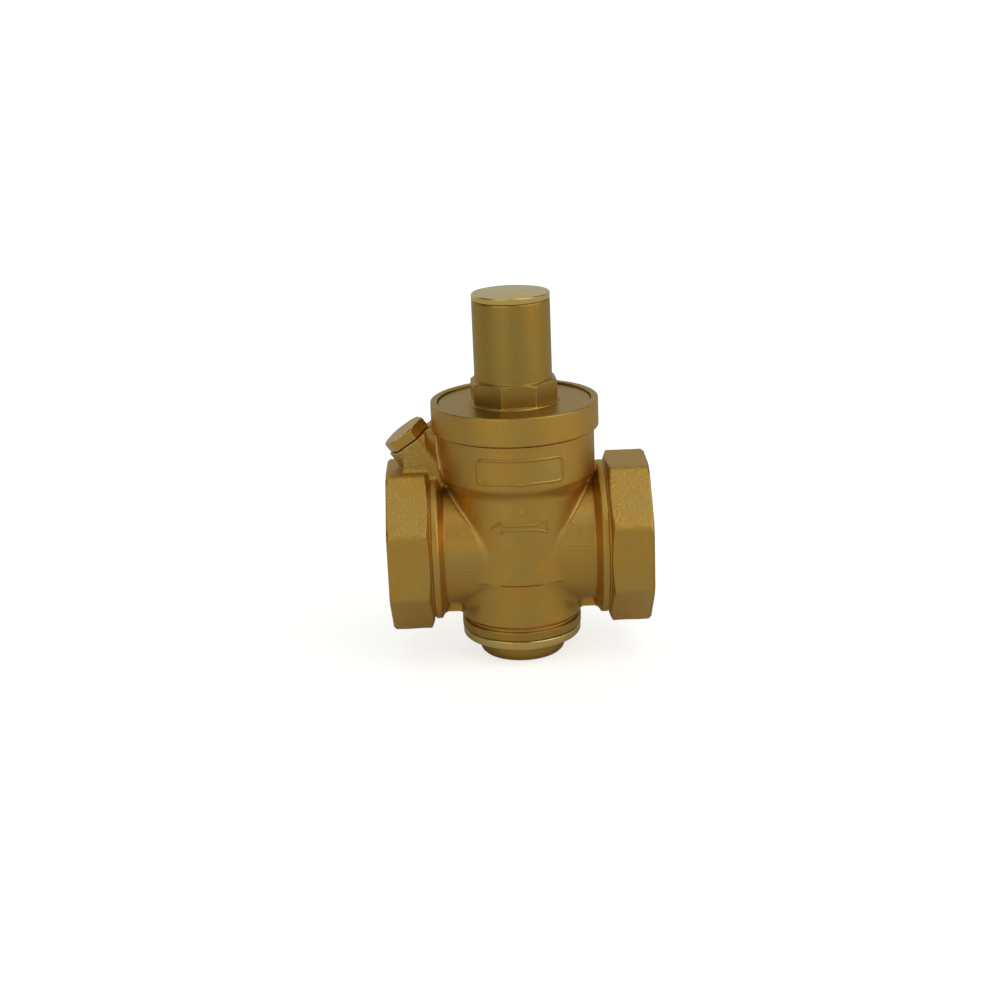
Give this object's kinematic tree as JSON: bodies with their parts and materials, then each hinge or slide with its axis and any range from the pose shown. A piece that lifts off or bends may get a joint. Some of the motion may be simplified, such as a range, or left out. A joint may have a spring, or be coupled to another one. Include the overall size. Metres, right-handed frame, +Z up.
{
  "type": "pressure reducing valve",
  "caption": "Brass pressure reducing valve with octagonal female-threaded pipe ends, a screwed bonnet with a slim spring tube and lid, a plugged gauge port and a bottom plug.",
  "frame": {"origin": "centre of the underside, on the axis of the spring tube; the pipe axis is 40.2 mm above it", "axes": "+Z up the spring tube, +X out of the inlet, -X out of the outlet, -Y towards the front"},
  "size_m": [0.0889, 0.0566, 0.1264],
  "materials": {
    "forged_brass": "blasted and partly turned brass",
    "turned_brass": "satin turned brass",
    "stainless_steel": "machined stainless steel",
    "spring_steel": "drawn spring wire",
    "black_rubber": "moulded nitrile rubber",
    "white_ptfe": "turned PTFE"
  },
  "bodies": {
    "valve": {"valve_body": "forged_brass", "bonnet": "turned_brass", "seat_ring": "stainless_steel", "bottom_plug": "turned_brass", "bottom_plug_o_ring": "black_rubber", "gauge_plug": "turned_brass", "gauge_plug_gasket": "black_rubber"},
    "lid": {"lid": "turned_brass", "lid_o_ring": "black_rubber"},
    "spring_plate": {"upper_spring_plate": "stainless_steel", "spring": "spring_steel"},
    "setting": {"adjusting_screw": "turned_brass"},
    "piston": {"piston": "turned_brass", "piston_guide_ring": "white_ptfe", "piston_o_ring": "black_rubber", "piston_nut": "stainless_steel", "stem": "stainless_steel", "disc_washer": "stainless_steel", "disc_seal": "black_rubber", "disc_holder": "turned_brass", "disc_nut": "stainless_steel", "balance_o_ring": "black_rubber"}
  },
  "joints": [
    {"name": "lid_lift", "type": "slide", "parent": "valve", "child": "lid", "axis": [0, 0, 1], "range_m": [0, 0.012]},
    {"name": "spring_plate_travel", "type": "slide", "parent": "valve", "child": "spring_plate", "axis": [0, 0, 1], "range_m": [0, 0.003], "deforming": ["spring"]},
    {"name": "adjusting_screw_turn", "type": "hinge", "parent": "spring_plate", "child": "setting", "pos_m": [0, 0, 0.1085], "axis": [0, 0, 1], "range_deg": [0, 720]},
    {"name": "piston_travel", "type": "slide", "parent": "valve", "child": "piston", "axis": [0, 0, 1], "range_m": [0, 0.004], "stiffness_N_per_m": 24000, "springref_m": -0.012, "deforming": ["spring"]}
  ],
  "couplings": [
    {"joint": "adjusting_screw_turn", "follows": "spring_plate_travel", "rad_per_m": 4188.8}
  ]
}
